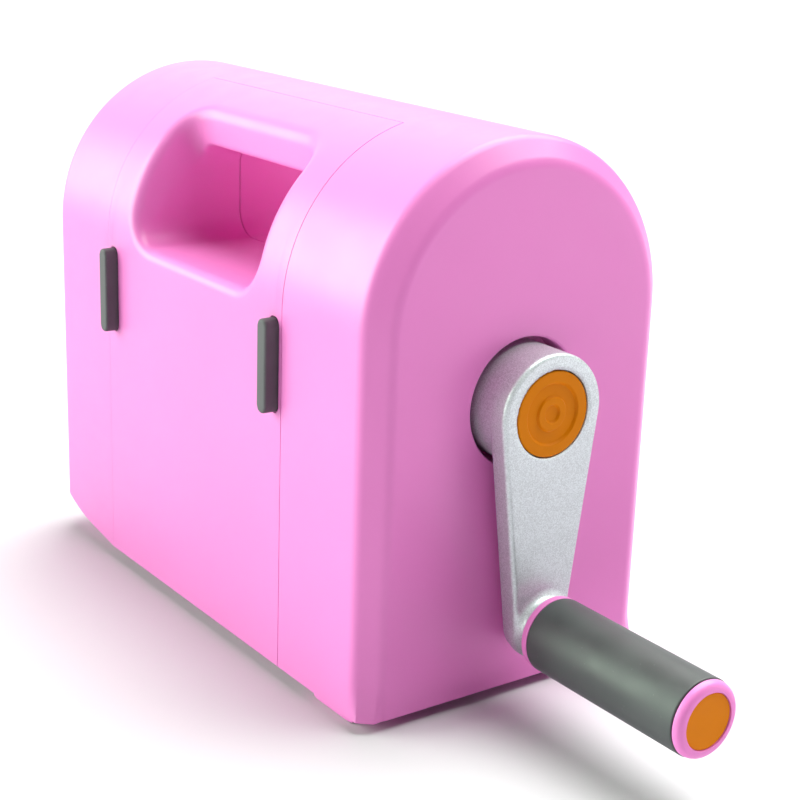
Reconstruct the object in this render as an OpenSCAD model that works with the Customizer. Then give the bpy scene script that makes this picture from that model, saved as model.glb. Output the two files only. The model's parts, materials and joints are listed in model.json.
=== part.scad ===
// Tabletop die cutting machine: two rollers under an arched case, turned by a side crank.
// The two doors of the case fold down to make the feed tables.
// Origin on the table, under the middle of the whole machine with its crank.
// +X runs to the crank end, -Y is the front, +Z is up.

/* [Case] */
// Depth of the case, front to back
body_depth = 150; // [140:1:160]
// Height of the top of the arch above the table
body_top = 236; // [226:1:246]
// Height of the case's lower edge above the table
body_lift = 5; // [4:0.5:5]
// Length of the middle section, covered by the doors
door_w = 156; // [156:1:170]
// Length of the end case on the crank side
right_reach = 64; // [62:1:80]
// Length of the plain end case
left_reach = 60; // [56:1:80]
// Thickness of the plastic walls
wall = 3; // [2.5:0.1:3.5]
// How far the end bevel runs along the case
bevel_along = 8.5; // [6:0.5:10]
// How far the end bevel runs in from the side
bevel_in = 9.8; // [7:0.2:12]
// How far the underside of the plain end curves up towards its tip
left_rise = 18; // [1:1:20]

/* [Carrying handle] */
// Width of the hand opening
grip_gap_w = 105; // [95:1:110]
// Height of the hand opening
grip_gap_h = 45; // [38:1:48]
// Height of the hand opening's floor
grip_gap_z = 163; // [162:1:166]
// Depth of the scoop in front of the bar, from the front of the case
scoop_depth = 35; // [28:1:38]
// Half depth of the fixed bridge between the doors
bridge_half = 18; // [16:1:20]

/* [Rollers and drive] */
// Radius of the driven upper roller
upper_r = 20; // [18:0.5:20]
// Radius of the lower roller
lower_r = 13; // [12:0.5:13]
// Height of the lower roller's axis
lower_z = 22.5; // [22:0.1:23]
// Height of the upper roller's axis
upper_z = 75.5; // [75:0.5:76]
// Gear module
gear_module = 1.5; // [1.5]
// Teeth of the pinion on the crank shaft
pinion_teeth = 18; // [18]
// Teeth of the gear on the upper roller
gear_teeth = 54; // [54]

/* [Crank] */
// Radius of the crank hub
hub_r = 24.7; // [22:0.1:26]
// Distance from the crank's axis to the grip's axis
crank_throw = 92.8; // [80:0.1:100]
// Angle that the crank leans from straight down
crank_lean = 1.6; // [0:0.1:3]
// Radius of the arm's small end
arm_tip_r = 13; // [11:0.5:14]
// Thickness of the arm
arm_t = 10; // [8:0.5:11]
// Radius of the coloured button
button_r = 17.7; // [14:0.1:19]
// Radius of the grip
grip_r = 16.1; // [15:0.1:18]
// Length of the grip
grip_len = 89.7; // [80:0.1:110]

/* [Hidden] */

$fn = 96;
eps = 1;

pink = [0.97, 0.66, 0.87];
inner_pink = [0.90, 0.52, 0.76];
orange = [0.93, 0.58, 0.10];
dark = [0.22, 0.22, 0.23];
silver = [0.76, 0.77, 0.79];
steel = [0.62, 0.64, 0.67];
bronze = [0.72, 0.55, 0.32];

// Case
arch_r = body_depth / 2;
arch_z = body_top - arch_r;
seam_x = door_w / 2;
door_half = seam_x - 0.4;
end_soft = 4;
hall = 300;

// Layers behind each seam: inner cover, then steel side plate
cover_x = seam_x + 1;
plate_x = cover_x + 4;
plate_t = 4;
plate_out = plate_x + plate_t;
plate_half = 62;
plate_z = [9, 165];

// Drive
drum_half = 76;
drum_wall = 4;
drum_hub = 12;
crank_z = upper_z + gear_module * (pinion_teeth + gear_teeth) / 2;
gear_x = plate_out + 3;
gear_t = 10;
pinion_x = plate_out + 1.5;
pinion_t = 13;
bracket_x = plate_out + 18;
bracket_t = 4;
crank_shaft_r = 6;
upper_shaft_r = 7;
lower_shaft_r = 6;
run_gap = 0.04;
key_w = 3;

// Crank and grip
case_end = seam_x + right_reach;
recess_r = hub_r + 2.5;
recess_depth = 12;
hub_x = case_end - recess_depth + 1;
arm_x = case_end + 8;
arm_out = arm_x + arm_t;
boss_h = 3.6;
grip_x = arm_out + boss_h + 0.2;
grip_end = grip_x + grip_len;
spindle_r = 4;
grip_ring_t = 3.5;
near_ring_t = 3.2;
grip_skin = 4;
grip_cap_r = 11.5;
grip_cap_t = 3;

// Middle of the whole machine, which the origin stands under
x_mid = (grip_end - seam_x - left_reach) / 2;

// Doors
hinge_y = 66;
hinge_z = 14;
hinge_r = 2.5;
table_y = 45;
shelf_z = arch_z + 1;
door_gap = 0.3;
magnet_r = 4;
magnet_at = [66, 196];
strip_w = 7;
strip_x = 71.8;
strip_z = [118, 158];
strip_proud = 6.2;
strip_flat = 0.3;

// Feed path
bed_z = 35;
hood_y = 43;
hood_z = [58, 160];

// Rods, posts and screws that run along X, as [distance from the middle plane, height]
tie_at = [[30, 140], [30, 16]];
tie_r = 4;
case_screw_at = [[54, 40], [54, 150]];
post_at = [[26, 120], [22, 152]];

// Bridge posts, as [X, height]: one by each end, and one over the middle of the bar
bridge_post_at = [66, 174];
bridge_top_post_z = 224;
bridge_post_r = 4;

// Screws up through the base, and the thin head of every countersunk screw
base_screw_at = [60, 38.5];
platform_screw_x = 66;
platform_screw_z = [34, 150];
head_r = 2.9;
thread_r = 1.5;

// Feet: pads under moulded blocks at the crank end, discs under round bosses at the plain end
pad_t = 2;
foot_x = [100, 130];
foot_y = [50, 73];
disc_at = [-90, 50];
disc_r = 9;

// ---- Shared shapes ----

module place() translate([-x_mid, 0, 0]) children();

// Turns a shape drawn in Y and Z, and raised along Z, to run along X
module along_x() rotate([90, 0, 90]) children();

module rod(x0, x1, r, y = 0, z = 0)
    translate([x0, y, z]) rotate([0, 90, 0]) cylinder(h = x1 - x0, r = r);

module ring(x0, x1, r_out, r_in, y = 0, z = 0) difference() {
    rod(x0, x1, r_out, y, z);
    rod(x0 - eps, x1 + eps, r_in, y, z);
}

module box(x, y, z)
    translate([x[0], y[0], z[0]]) cube([x[1] - x[0], y[1] - y[0], z[1] - z[0]]);

module both_ends() {
    children();
    mirror([1, 0, 0]) children();
}

module both_sides() {
    children();
    mirror([0, 1, 0]) children();
}

module four_ways() both_ends() both_sides() children();

// Arched section: a half disc on a rectangle
module arch_slab(x0, x1, r, z0)
    translate([x0, 0, 0]) along_x() linear_extrude(x1 - x0) union() {
        translate([0, arch_z]) circle(r);
        translate([-r, z0]) square([2 * r, arch_z - z0]);
    }

// Curve from a to c that bends at b
function bend(a, b, c, n = 4) =
    [for (i = [0:n]) let (t = i / n) (1 - t) * (1 - t) * a + 2 * t * (1 - t) * b + t * t * c];

// Half section of an end case, as [distance from the middle, distance from the seam]
function end_line(r, reach) =
    let (
        p = [r, reach - bevel_along],
        q = [r - bevel_in, reach],
        u = (q - p) / norm(q - p) * end_soft
    )
    concat([[r, 0]], bend(p - [0, end_soft], p, p + u), bend(q - u, q, q - [end_soft, 0]));

// Solid end case with its soft bevel round the sides and the arch
module end_solid(reach, r, z0) {
    line = end_line(r, reach);
    last = len(line) - 1;
    translate([0, 0, arch_z]) along_x() rotate_extrude(angle = 180)
        polygon(concat([[0, 0]], line, [[0, reach]]));
    translate([0, 0, z0]) linear_extrude(arch_z - z0)
        polygon(concat(
            [for (p = line) [p[1], p[0]]],
            [for (i = [last:-1:0]) [line[i][1], -line[i][0]]]
        ));
}

// Underside of the plain end: a shallow slope that curves up towards the tip
underside = bend(
    [0.4 * left_reach, body_lift + 0.2 * left_rise],
    [0.73 * left_reach, body_lift + 0.37 * left_rise],
    [left_reach, body_lift + left_rise]
);

// The space under the plain end, below that underside
module left_wedge(lift)
    translate([0, hall / 2, lift]) rotate([90, 0, 0]) linear_extrude(hall)
        polygon(concat(
            [[0, -hall], [0, body_lift]],
            underside,
            [[left_reach + 10, body_lift + 1.4 * left_rise], [left_reach + 10, -hall]]
        ));

module case_screw_posts(reach) both_sides()
    for (p = case_screw_at)
        rod(plate_out - seam_x, reach - wall / 2, 5, p[0], p[1]);

module case_screw_holes() both_sides()
    for (p = case_screw_at)
        rod(-eps, plate_out - seam_x + 14, 1.6, p[0], p[1]);

// Hollow end case, drawn from the seam outwards
module end_case(reach, rise) {
    difference() {
        end_solid(reach, arch_r, body_lift);
        if (rise > 0) left_wedge(0);
        difference() {
            union() {
                end_solid(reach - wall, arch_r - wall, body_lift + wall);
                arch_slab(-eps, 1, arch_r - wall, body_lift + wall);
            }
            if (rise > 0) left_wedge(wall);
        }
    }
    difference() {
        case_screw_posts(reach);
        case_screw_holes();
    }
}

module tooth_wheel(teeth, x0, x1, z, turn) {
    pitch_r = gear_module * teeth / 2;
    base_r = pitch_r * cos(20);
    tip_r = pitch_r + gear_module;
    root_r = pitch_r - 1.25 * gear_module;
    start_r = max(root_r, base_r);
    slack = 0.16 / pitch_r * 180 / PI;
    function roll(a) = tan(a) * 180 / PI - a;
    function half(r) = 90 / teeth - slack + roll(20) - roll(acos(min(1, base_r / r)));
    radii = concat([root_r - 0.01], [for (i = [0:3]) start_r + (tip_r - start_r) * i / 3]);
    function spot(r, a) = [r * cos(a), r * sin(a)];
    steps = len(radii) - 1;
    translate([x0, 0, z]) along_x() rotate(turn) linear_extrude(x1 - x0) polygon([
        for (k = [0:teeth - 1], s = [-1, 1], i = [0:steps])
            let (j = s < 0 ? i : steps - i, r = radii[j])
            spot(r, 360 * k / teeth + s * half(max(r, base_r)))
    ]);
}

// ---- Case ----

module right_housing() place() color(pink) difference() {
    union() {
        translate([seam_x, 0, 0]) end_case(right_reach, 0);
        rod(case_end - recess_depth - wall, case_end - 1, recess_r + wall, 0, crank_z);
        both_sides() box(foot_x, foot_y, [pad_t, body_lift + 0.5]);
    }
    rod(case_end - recess_depth, case_end + eps, recess_r, 0, crank_z);
    rod(case_end - recess_depth - wall - eps, case_end, crank_shaft_r + 2, 0, crank_z);
}

module left_housing() place() color(pink) {
    mirror([1, 0, 0]) translate([seam_x, 0, 0]) end_case(left_reach, left_rise);
    both_sides() difference() {
        translate([disc_at[0], disc_at[1], pad_t]) cylinder(h = body_lift + wall, r = disc_r + 2);
        mirror([1, 0, 0]) translate([seam_x, 0, 0]) box([0, 40], [-hall, hall], [body_lift + wall, 40]);
    }
}

module inner_cover(crank_side) difference() {
    arch_slab(cover_x, cover_x + wall, arch_r - wall - 0.2, body_lift + wall + 0.2);
    if (!crank_side) translate([seam_x, 0, 0]) left_wedge(wall + 0.2);
    rod(cover_x - eps, cover_x + wall + eps, upper_shaft_r + 3, 0, upper_z);
    rod(cover_x - eps, cover_x + wall + eps, lower_shaft_r + 2, 0, lower_z);
    both_sides() rod(cover_x - eps, cover_x + wall + eps, hinge_r, hinge_y, hinge_z);
    translate([seam_x, 0, 0]) case_screw_holes();
    both_sides() for (p = case_screw_at) rod(cover_x - eps, cover_x + 1.8, 3.2, p[0], p[1]);
    both_sides() for (p = tie_at) rod(cover_x - eps, cover_x + wall + eps, tie_r, p[0], p[1]);
}

module right_inner_cover() place() color(inner_pink) inner_cover(true);

module left_inner_cover() place() color(inner_pink) mirror([1, 0, 0]) inner_cover(false);

// Rounded opening through the case, drawn across X and Z and cut along Y
module hand_slot(half_w, z0, z1, r, y0, y1)
    translate([0, y1, 0]) rotate([90, 0, 0]) linear_extrude(y1 - y0) union() {
        for (x = [r - half_w, half_w - r], z = [z0 + r, z1 - r]) translate([x, z]) circle(r);
        translate([-half_w, z0 + r]) square([2 * half_w, z1 - z0 - 2 * r]);
        translate([r - half_w, z0]) square([2 * (half_w - r), z1 - z0]);
    }

// The hand opening in the bridge, grown by a wall thickness where grow is not 0
module tunnel(grow, y0, y1)
    hand_slot(grip_gap_w / 2 + grow, grip_gap_z - grow, grip_gap_z + grip_gap_h + grow, 12 + grow, y0, y1);

// The scoop in front of the bar, open to the outside of the arch
module scoop(grow)
    hand_slot(grip_gap_w / 2 + 2.5 + grow, grip_gap_z - grow, body_top - 10 + grow, 16 + grow,
        -hall / 2, scoop_depth - arch_r + grow);

// One half of the bridge, with its open side on the middle plane
module bridge_half_shell() {
    x = seam_x - 0.02;
    difference() {
        intersection() {
            arch_slab(-x, x, arch_r, 0);
            box([-x, x], [-bridge_half, -0.05], [hood_z[1], body_top + eps]);
        }
        difference() {
            intersection() {
                arch_slab(wall - x, x - wall, arch_r - wall, 0);
                box([-x, x], [wall - bridge_half, eps], [hood_z[1] + wall, body_top]);
            }
            tunnel(wall, -hall, hall);
            bridge_posts();
        }
        tunnel(0, -hall, hall);
        bridge_screw_holes();
        both_ends() translate([magnet_at[0], -bridge_half - eps, magnet_at[1]]) rotate([-90, 0, 0])
            cylinder(h = 3 + eps, r = magnet_r);
    }
}

module bridge_posts() both_ends() {
    translate([magnet_at[0], -bridge_half, magnet_at[1]]) rotate([-90, 0, 0]) cylinder(h = 6, r = 6);
    translate([bridge_post_at[0], -bridge_half, bridge_post_at[1]]) rotate([-90, 0, 0])
        cylinder(h = bridge_half - 0.05, r = bridge_post_r);
    translate([0, -bridge_half, bridge_top_post_z]) rotate([-90, 0, 0])
        cylinder(h = bridge_half - 0.05, r = bridge_post_r);
}

module bridge_screw_line(y, h, r) {
    both_ends() translate([bridge_post_at[0], y, bridge_post_at[1]]) rotate([-90, 0, 0])
        cylinder(h = h, r = r);
    translate([0, y, bridge_top_post_z]) rotate([-90, 0, 0]) cylinder(h = h, r = r);
}

module bridge_screw_holes() {
    bridge_screw_line(-12, 24, thread_r);
    bridge_screw_line(-bridge_half - eps, 6 + eps, head_r + 0.1);
}

module handle_bridge_front() place() color(pink) bridge_half_shell();

module handle_bridge_rear() place() color(pink) mirror([0, 1, 0]) difference() {
    bridge_half_shell();
    bridge_screw_line(-bridge_half - eps, 8, 1);
}

module bridge_screws() place() color(steel) {
    bridge_screw_line(-12, 23, thread_r);
    bridge_screw_line(-14, 2, head_r);
}

module bridge_magnets() place() color(steel) four_ways()
    translate([magnet_at[0], -bridge_half + 0.1, magnet_at[1]]) rotate([-90, 0, 0])
        cylinder(h = 2.9, r = magnet_r);

module roller_hood() place() color(inner_pink) difference() {
    box([-door_half - 0.9, door_half + 0.9], [-hood_y, hood_y], hood_z);
    box([-hall, hall], [wall - hood_y, hood_y - wall], [0, hood_z[1] - wall]);
}

module base_pan() place() color(inner_pink) difference() {
    box([-door_half, door_half], [-42, 42], [body_lift, body_lift + wall]);
    base_screw_line(0, 20, thread_r);
    base_screw_line(0, body_lift + 1.5, head_r + 0.1);
}

module base_screw_line(z, h, r) four_ways()
    translate([base_screw_at[0], base_screw_at[1], z]) cylinder(h = h, r = r);

module base_screws() place() color(steel) {
    base_screw_line(body_lift + 0.2, 1.3, head_r);
    base_screw_line(body_lift + 1.5, 9, thread_r);
}

// Fixed half of the feed table on one side of the lower roller
module feed_bed() difference() {
    union() {
        box([-drum_half, drum_half], [-table_y + 0.7, -10.5], [bed_z - wall, bed_z]);
        box([-drum_half, drum_half], [-42, -39], [body_lift + wall, bed_z - wall]);
        for (x = [-50, 0, 50]) box([x - 1.5, x + 1.5], [-40, -14.5], [21, bed_z - wall]);
        both_ends() translate([base_screw_at[0], -base_screw_at[1], body_lift + wall])
            cylinder(h = 12, r = 3.5);
    }
    base_screw_line(0, 18, thread_r);
}

module feed_bed_front() place() color(inner_pink) feed_bed();

module feed_bed_rear() place() color(inner_pink) mirror([0, 1, 0]) feed_bed();

// ---- Steel frame ----

module side_plate(crank_side) difference() {
    box([plate_x, plate_out], [-plate_half, plate_half], plate_z);
    if (!crank_side) translate([seam_x, 0, 0]) left_wedge(wall + 0.2);
    rod(plate_x - eps, plate_out + eps, upper_shaft_r + 3.5, 0, upper_z);
    rod(plate_x - eps, plate_out + eps, lower_shaft_r + 3, 0, lower_z);
    if (crank_side) rod(plate_x - eps, plate_out + eps, crank_shaft_r + 3, 0, crank_z);
    both_sides() for (p = tie_at) rod(plate_x - eps, plate_out + eps, 2.5, p[0], p[1]);
    translate([seam_x, 0, 0]) case_screw_holes();
    if (crank_side) both_sides() for (p = post_at) rod(plate_x - eps, plate_out + eps, 2, p[0], p[1]);
}

module right_side_plate() place() color(steel) side_plate(true);

module left_side_plate() place() color(steel) mirror([1, 0, 0]) side_plate(false);

module tie_rods() place() color(steel) both_sides() for (p = tie_at) difference() {
    rod(-plate_x, plate_x, tie_r, p[0], p[1]);
    both_ends() rod(plate_x - 10, plate_x + eps, 2.5, p[0], p[1]);
}

module frame_screws() place() color(steel) four_ways() for (p = tie_at) {
    rod(plate_x - 10, plate_out, 2.5, p[0], p[1]);
    rod(plate_out, plate_out + 2.5, 4.5, p[0], p[1]);
}

module housing_screws() place() color(steel) four_ways() for (p = case_screw_at) {
    rod(cover_x + 0.2, cover_x + 1.8, 3, p[0], p[1]);
    rod(cover_x + 1.8, plate_out + 13, 1.6, p[0], p[1]);
}

module flanged_bush(shaft_r, body_r, z) difference() {
    union() {
        rod(plate_x, plate_out, body_r, 0, z);
        rod(plate_out, plate_out + 1, body_r + 2, 0, z);
    }
    rod(plate_x - eps, plate_out + 2, shaft_r + run_gap, 0, z);
}

module upper_roller_bushes() place() color(bronze)
    both_ends() flanged_bush(upper_shaft_r, upper_shaft_r + 3.5, upper_z);

module lower_roller_bushes() place() color(bronze)
    both_ends() flanged_bush(lower_shaft_r, lower_shaft_r + 3, lower_z);

module crank_bushes() place() color(bronze) {
    flanged_bush(crank_shaft_r, crank_shaft_r + 3, crank_z);
    ring(bracket_x, bracket_x + bracket_t, crank_shaft_r + 3, crank_shaft_r + run_gap, 0, crank_z);
}

module gear_bracket() place() color(steel) difference() {
    box([bracket_x, bracket_x + bracket_t], [-32, 32], [112, 160]);
    rod(bracket_x - eps, bracket_x + bracket_t + eps, crank_shaft_r + 3, 0, crank_z);
    both_sides() for (p = post_at) rod(bracket_x - eps, bracket_x + bracket_t + eps, 2, p[0], p[1]);
}

module bracket_posts() place() color(steel) both_sides() for (p = post_at) {
    rod(plate_x, plate_out, 2, p[0], p[1]);
    difference() {
        rod(plate_out, bracket_x, 4, p[0], p[1]);
        rod(bracket_x - 8, bracket_x + eps, 2, p[0], p[1]);
    }
}

module bracket_screws() place() color(steel) both_sides() for (p = post_at) {
    rod(bracket_x - 8, bracket_x + bracket_t, 2, p[0], p[1]);
    rod(bracket_x + bracket_t, bracket_x + bracket_t + 2, 3.5, p[0], p[1]);
}

module rubber_feet() place() color(dark) both_sides() {
    box(foot_x + [2, -2], foot_y + [2, -2], [0, pad_t]);
    translate([disc_at[0], disc_at[1], 0]) cylinder(h = pad_t, r = disc_r);
}

// ---- Doors ----

module hinge_pins() both_ends() rod(seam_x - 6.5, plate_x + 1, hinge_r, -hinge_y, hinge_z);

module front_hinge_pins() place() color(steel) hinge_pins();

module rear_hinge_pins() place() color(steel) mirror([0, 1, 0]) hinge_pins();

module platform_screw_at(y, h, r) both_ends()
    for (z = platform_screw_z) translate([platform_screw_x, y, z]) rotate([-90, 0, 0])
        cylinder(h = h, r = r);

// Two upright strips with round corners
module strips(grow, y0, y1) both_ends() {
    r = strip_w / 2 - strip_flat + grow;
    low = strip_z[0] - grow;
    high = strip_z[1] + grow;
    translate([strip_x, y1, 0]) rotate([90, 0, 0]) linear_extrude(y1 - y0) union() {
        for (x = [-strip_flat, strip_flat], z = [low + r, high - r]) translate([x, z]) circle(r);
        translate([-r - strip_flat, low + r]) square([2 * (r + strip_flat), high - low - 2 * r]);
        translate([-strip_flat, low]) square([2 * strip_flat, high - low]);
    }
}

module door_shell() difference() {
    union() {
        difference() {
            door_part(door_half, arch_r, body_lift, 0, 0);
            difference() {
                door_part(door_half - wall, arch_r - wall, body_lift + wall, wall, 0.5);
                intersection() {
                    arch_slab(-hall, hall, arch_r - 0.5, 0);
                    union() {
                        scoop(wall);
                        tunnel(wall, -arch_r, 0);
                    }
                }
            }
        }
        both_ends() rod(door_half - 6.6, door_half - 1, 6, -hinge_y, hinge_z);
        platform_screw_at(-arch_r + 1, arch_r - table_y - wall - 1, 4);
    }
    scoop(0);
    tunnel(0, -arch_r, 0);
    both_ends() rod(door_half - 8, door_half + eps, hinge_r + 0.05, -hinge_y, hinge_z);
    platform_screw_at(-65, 30, thread_r);
    strips(0.15, -arch_r - eps, -arch_r + 1);
    both_ends() translate([magnet_at[0], -bridge_half - door_gap - 2.6, magnet_at[1]])
        rotate([-90, 0, 0]) cylinder(h = 4, r = magnet_r);
}

// The part of the arched body that a door takes, drawn in at the top and run past its back
module door_part(half, r, z0, thick, past_back) intersection() {
    arch_slab(-half, half, r, z0);
    union() {
        box([-half, half], [-hall, past_back - table_y - wall], [z0, body_top]);
        box([-half, half], [-hall, -bridge_half - door_gap - thick], [shelf_z + thick, body_top]);
    }
}

module platform() difference() {
    box([-door_half, door_half], [-table_y - wall, -table_y], [body_lift, shelf_z]);
    platform_screw_at(-60, 30, thread_r);
    platform_screw_at(-table_y - 1.6, 5, head_r + 0.1);
}

module platform_screws() {
    platform_screw_at(-table_y - 1.6, 1.4, head_r);
    platform_screw_at(-64, 64 - table_y - 1.6, thread_r);
}

module door_magnets() both_ends()
    translate([magnet_at[0], -bridge_half - door_gap - 2.6, magnet_at[1]])
        rotate([-90, 0, 0]) cylinder(h = 2.5, r = magnet_r);

module front_door_shell() place() color(pink) door_shell();

module front_platform() place() color(inner_pink) platform();

module front_bumpers() place() color(dark) strips(0, -arch_r - strip_proud, -arch_r + 1);

module front_door_magnets() place() color(steel) door_magnets();

module front_platform_screws() place() color(steel) platform_screws();

module rear_door_shell() place() color(pink) mirror([0, 1, 0]) door_shell();

module rear_platform() place() color(inner_pink) mirror([0, 1, 0]) platform();

module rear_bumpers() place() color(dark) mirror([0, 1, 0])
    strips(0, -arch_r - strip_proud, -arch_r + 1);

module rear_door_magnets() place() color(steel) mirror([0, 1, 0]) door_magnets();

module rear_platform_screws() place() color(steel) mirror([0, 1, 0]) platform_screws();

// ---- Crank ----

// Turns the crank's parts to the angle that it hangs at
module leaned() translate([0, 0, crank_z]) rotate([crank_lean, 0, 0]) children();

// Flat shape with straight sides that touch both end circles
module tapered_arm(r0, r1, throw) {
    a = asin((r0 - r1) / throw);
    union() {
        circle(r0);
        translate([0, -throw]) circle(r1);
        polygon([
            [r0 * cos(a), -r0 * sin(a)], [-r0 * cos(a), -r0 * sin(a)],
            [-r1 * cos(a), -throw - r1 * sin(a)], [r1 * cos(a), -throw - r1 * sin(a)]
        ]);
    }
}

module key_block(x0, x1, shaft_r, grow) translate([x0, -key_w / 2 - grow, shaft_r - key_w / 2])
    cube([x1 - x0, key_w + 2 * grow, key_w + grow]);

module crank_arm() place() color(silver) leaned() difference() {
    union() {
        rod(hub_x, arm_x + 1, hub_r);
        translate([arm_x, 0, 0]) along_x() linear_extrude(arm_t) tapered_arm(hub_r, arm_tip_r, crank_throw);
        rod(arm_out - 1, arm_out + boss_h, arm_tip_r, 0, -crank_throw);
    }
    rod(hub_x - eps, arm_x, crank_shaft_r);
    rod(arm_x - eps, arm_out, 3);
    rod(arm_x + 2, arm_out, 5.2);
    rod(arm_out - 3.5, arm_out + eps, button_r + 0.2);
    rod(arm_x + 1, arm_out + boss_h + eps, spindle_r, 0, -crank_throw);
}

module crank_shaft() place() color(steel) leaned() difference() {
    rod(plate_x + 0.2, arm_x, crank_shaft_r);
    rod(arm_x - 12, arm_x + eps, 3);
    key_block(pinion_x + 1, pinion_x + 11, crank_shaft_r, 0);
}

module crank_button() place() color(orange) leaned() {
    rod(arm_out - 3.5, arm_out - 0.6, button_r);
    ring(arm_out - 0.7, arm_out - 0.2, button_r - 2.2, button_r - 3.2);
    ring(arm_out - 0.7, arm_out - 0.2, 8, 5.5);
}

module crank_screw() place() color(steel) leaned() {
    rod(arm_x - 12, arm_x + 2, 3);
    rod(arm_x + 2, arm_out - 3.6, 5);
}

module drive_pinion() place() color(steel) difference() {
    tooth_wheel(pinion_teeth, pinion_x, pinion_x + pinion_t, crank_z, -90);
    leaned() rod(pinion_x - eps, pinion_x + pinion_t + eps, crank_shaft_r);
    leaned() key_block(pinion_x + 1, pinion_x + 11, crank_shaft_r, 0);
}

module pinion_key() place() color(steel) leaned()
    key_block(pinion_x + 1, pinion_x + 11, crank_shaft_r, 0);

module crank_collars() place() color(steel) leaned() {
    ring(pinion_x + pinion_t + 0.5, bracket_x - 0.3, crank_shaft_r + 2.5, crank_shaft_r);
    ring(bracket_x + bracket_t + 0.3, bracket_x + bracket_t + 2.5, crank_shaft_r + 2.5, crank_shaft_r);
}

// ---- Grip ----

module on_grip() leaned() translate([0, 0, -crank_throw]) children();

module grip_spindle() place() color(steel) on_grip() rod(arm_x + 1, grip_end - 6.2, spindle_r);

module grip_retainer() place() color(steel) on_grip()
    rod(grip_end - 6.2, grip_end - 4.2, spindle_r + 3.5);

module grip_core() place() color(pink) on_grip() translate([grip_x, 0, 0]) difference() {
    along_x() rotate_extrude() polygon(concat(
        [[0, 0], [grip_r - 1.1, 0]],
        bend([grip_r - 1.1, 0], [grip_r - 0.1, 0], [grip_r - 0.1, 1]),
        [[grip_r - 0.1, near_ring_t], [grip_r - grip_skin, near_ring_t]],
        [[grip_r - grip_skin, grip_len - grip_ring_t]],
        bend(
            [grip_r - 0.3, grip_len - grip_ring_t],
            [grip_r - 0.3, grip_len],
            [grip_cap_r + 0.4, grip_len]
        ),
        [[0, grip_len]]
    ));
    rod(-eps, grip_len, spindle_r + 0.06);
    rod(grip_len - 6.4, grip_len, spindle_r + 4.5);
    rod(grip_len - grip_cap_t, grip_len + eps, grip_cap_r);
}

module grip_sleeve() place() color(dark) on_grip()
    ring(grip_x + near_ring_t + 0.1, grip_end - grip_ring_t - 0.4, grip_r, grip_r - grip_skin);

module grip_end_cap() place() color(orange) on_grip()
    rod(grip_end - grip_cap_t, grip_end - 0.4, grip_cap_r);

// ---- Rollers ----

// Steel tube on its shaft, with a solid hub at each end
module drum(r, shaft_r, z) {
    ring(-drum_half, drum_half, r, r - drum_wall, 0, z);
    both_ends() ring(drum_half - drum_hub, drum_half, r - drum_wall / 2, shaft_r, 0, z);
}

module upper_roller_drum() place() color(steel) drum(upper_r, upper_shaft_r, upper_z);

module upper_roller_shaft() place() color(silver) difference() {
    rod(-plate_out - 3, gear_x + gear_t + 3, upper_shaft_r, 0, upper_z);
    translate([0, 0, upper_z]) key_block(gear_x, gear_x + gear_t, upper_shaft_r, 0);
}

module roller_gear() place() color(steel) difference() {
    tooth_wheel(gear_teeth, gear_x, gear_x + gear_t, upper_z, 90 + 180 / gear_teeth);
    rod(gear_x - eps, gear_x + gear_t + eps, upper_shaft_r, 0, upper_z);
    translate([0, 0, upper_z]) key_block(gear_x - eps, gear_x + gear_t + eps, upper_shaft_r, 0);
    for (a = [60:60:360])
        translate([0, 0, upper_z]) rotate([a, 0, 0]) rod(gear_x - eps, gear_x + gear_t + eps, 8, 0, 24);
}

module gear_key() place() color(steel)
    translate([0, 0, upper_z]) key_block(gear_x, gear_x + gear_t, upper_shaft_r, 0);

module upper_roller_clips() place() color(steel) {
    ring(gear_x + gear_t + 0.2, gear_x + gear_t + 2, upper_shaft_r + 3, upper_shaft_r, 0, upper_z);
    ring(-plate_out - 2.6, -plate_out - 1.2, upper_shaft_r + 3, upper_shaft_r, 0, upper_z);
}

module lower_roller_drum() place() color(steel) drum(lower_r, lower_shaft_r, lower_z);

module lower_roller_shaft() place() color(silver)
    rod(-plate_out - 3, plate_out + 3, lower_shaft_r, 0, lower_z);

module lower_roller_clips() place() color(steel) both_ends()
    ring(plate_out + 1.2, plate_out + 2.6, lower_shaft_r + 3, lower_shaft_r, 0, lower_z);

right_housing();
left_housing();
right_inner_cover();
left_inner_cover();
handle_bridge_front();
handle_bridge_rear();
roller_hood();
base_pan();
feed_bed_front();
feed_bed_rear();
right_side_plate();
left_side_plate();
tie_rods();
upper_roller_bushes();
lower_roller_bushes();
crank_bushes();
gear_bracket();
bracket_posts();
bracket_screws();
frame_screws();
housing_screws();
base_screws();
bridge_screws();
bridge_magnets();
rubber_feet();
front_hinge_pins();
rear_hinge_pins();
front_door_shell();
front_platform();
front_bumpers();
front_door_magnets();
front_platform_screws();
rear_door_shell();
rear_platform();
rear_bumpers();
rear_door_magnets();
rear_platform_screws();
crank_arm();
crank_shaft();
crank_button();
crank_screw();
drive_pinion();
pinion_key();
crank_collars();
grip_spindle();
grip_retainer();
grip_core();
grip_sleeve();
grip_end_cap();
upper_roller_drum();
upper_roller_shaft();
roller_gear();
gear_key();
upper_roller_clips();
lower_roller_drum();
lower_roller_shaft();
lower_roller_clips();
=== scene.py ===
"""Looks of a tabletop die cutting machine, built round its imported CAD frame.

Shape functions work in millimetres in the row frame; make_mesh() turns them into metres.
"""
import json
import math

import bmesh
import bpy
import numpy as np
from mathutils import Matrix, Vector


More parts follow.
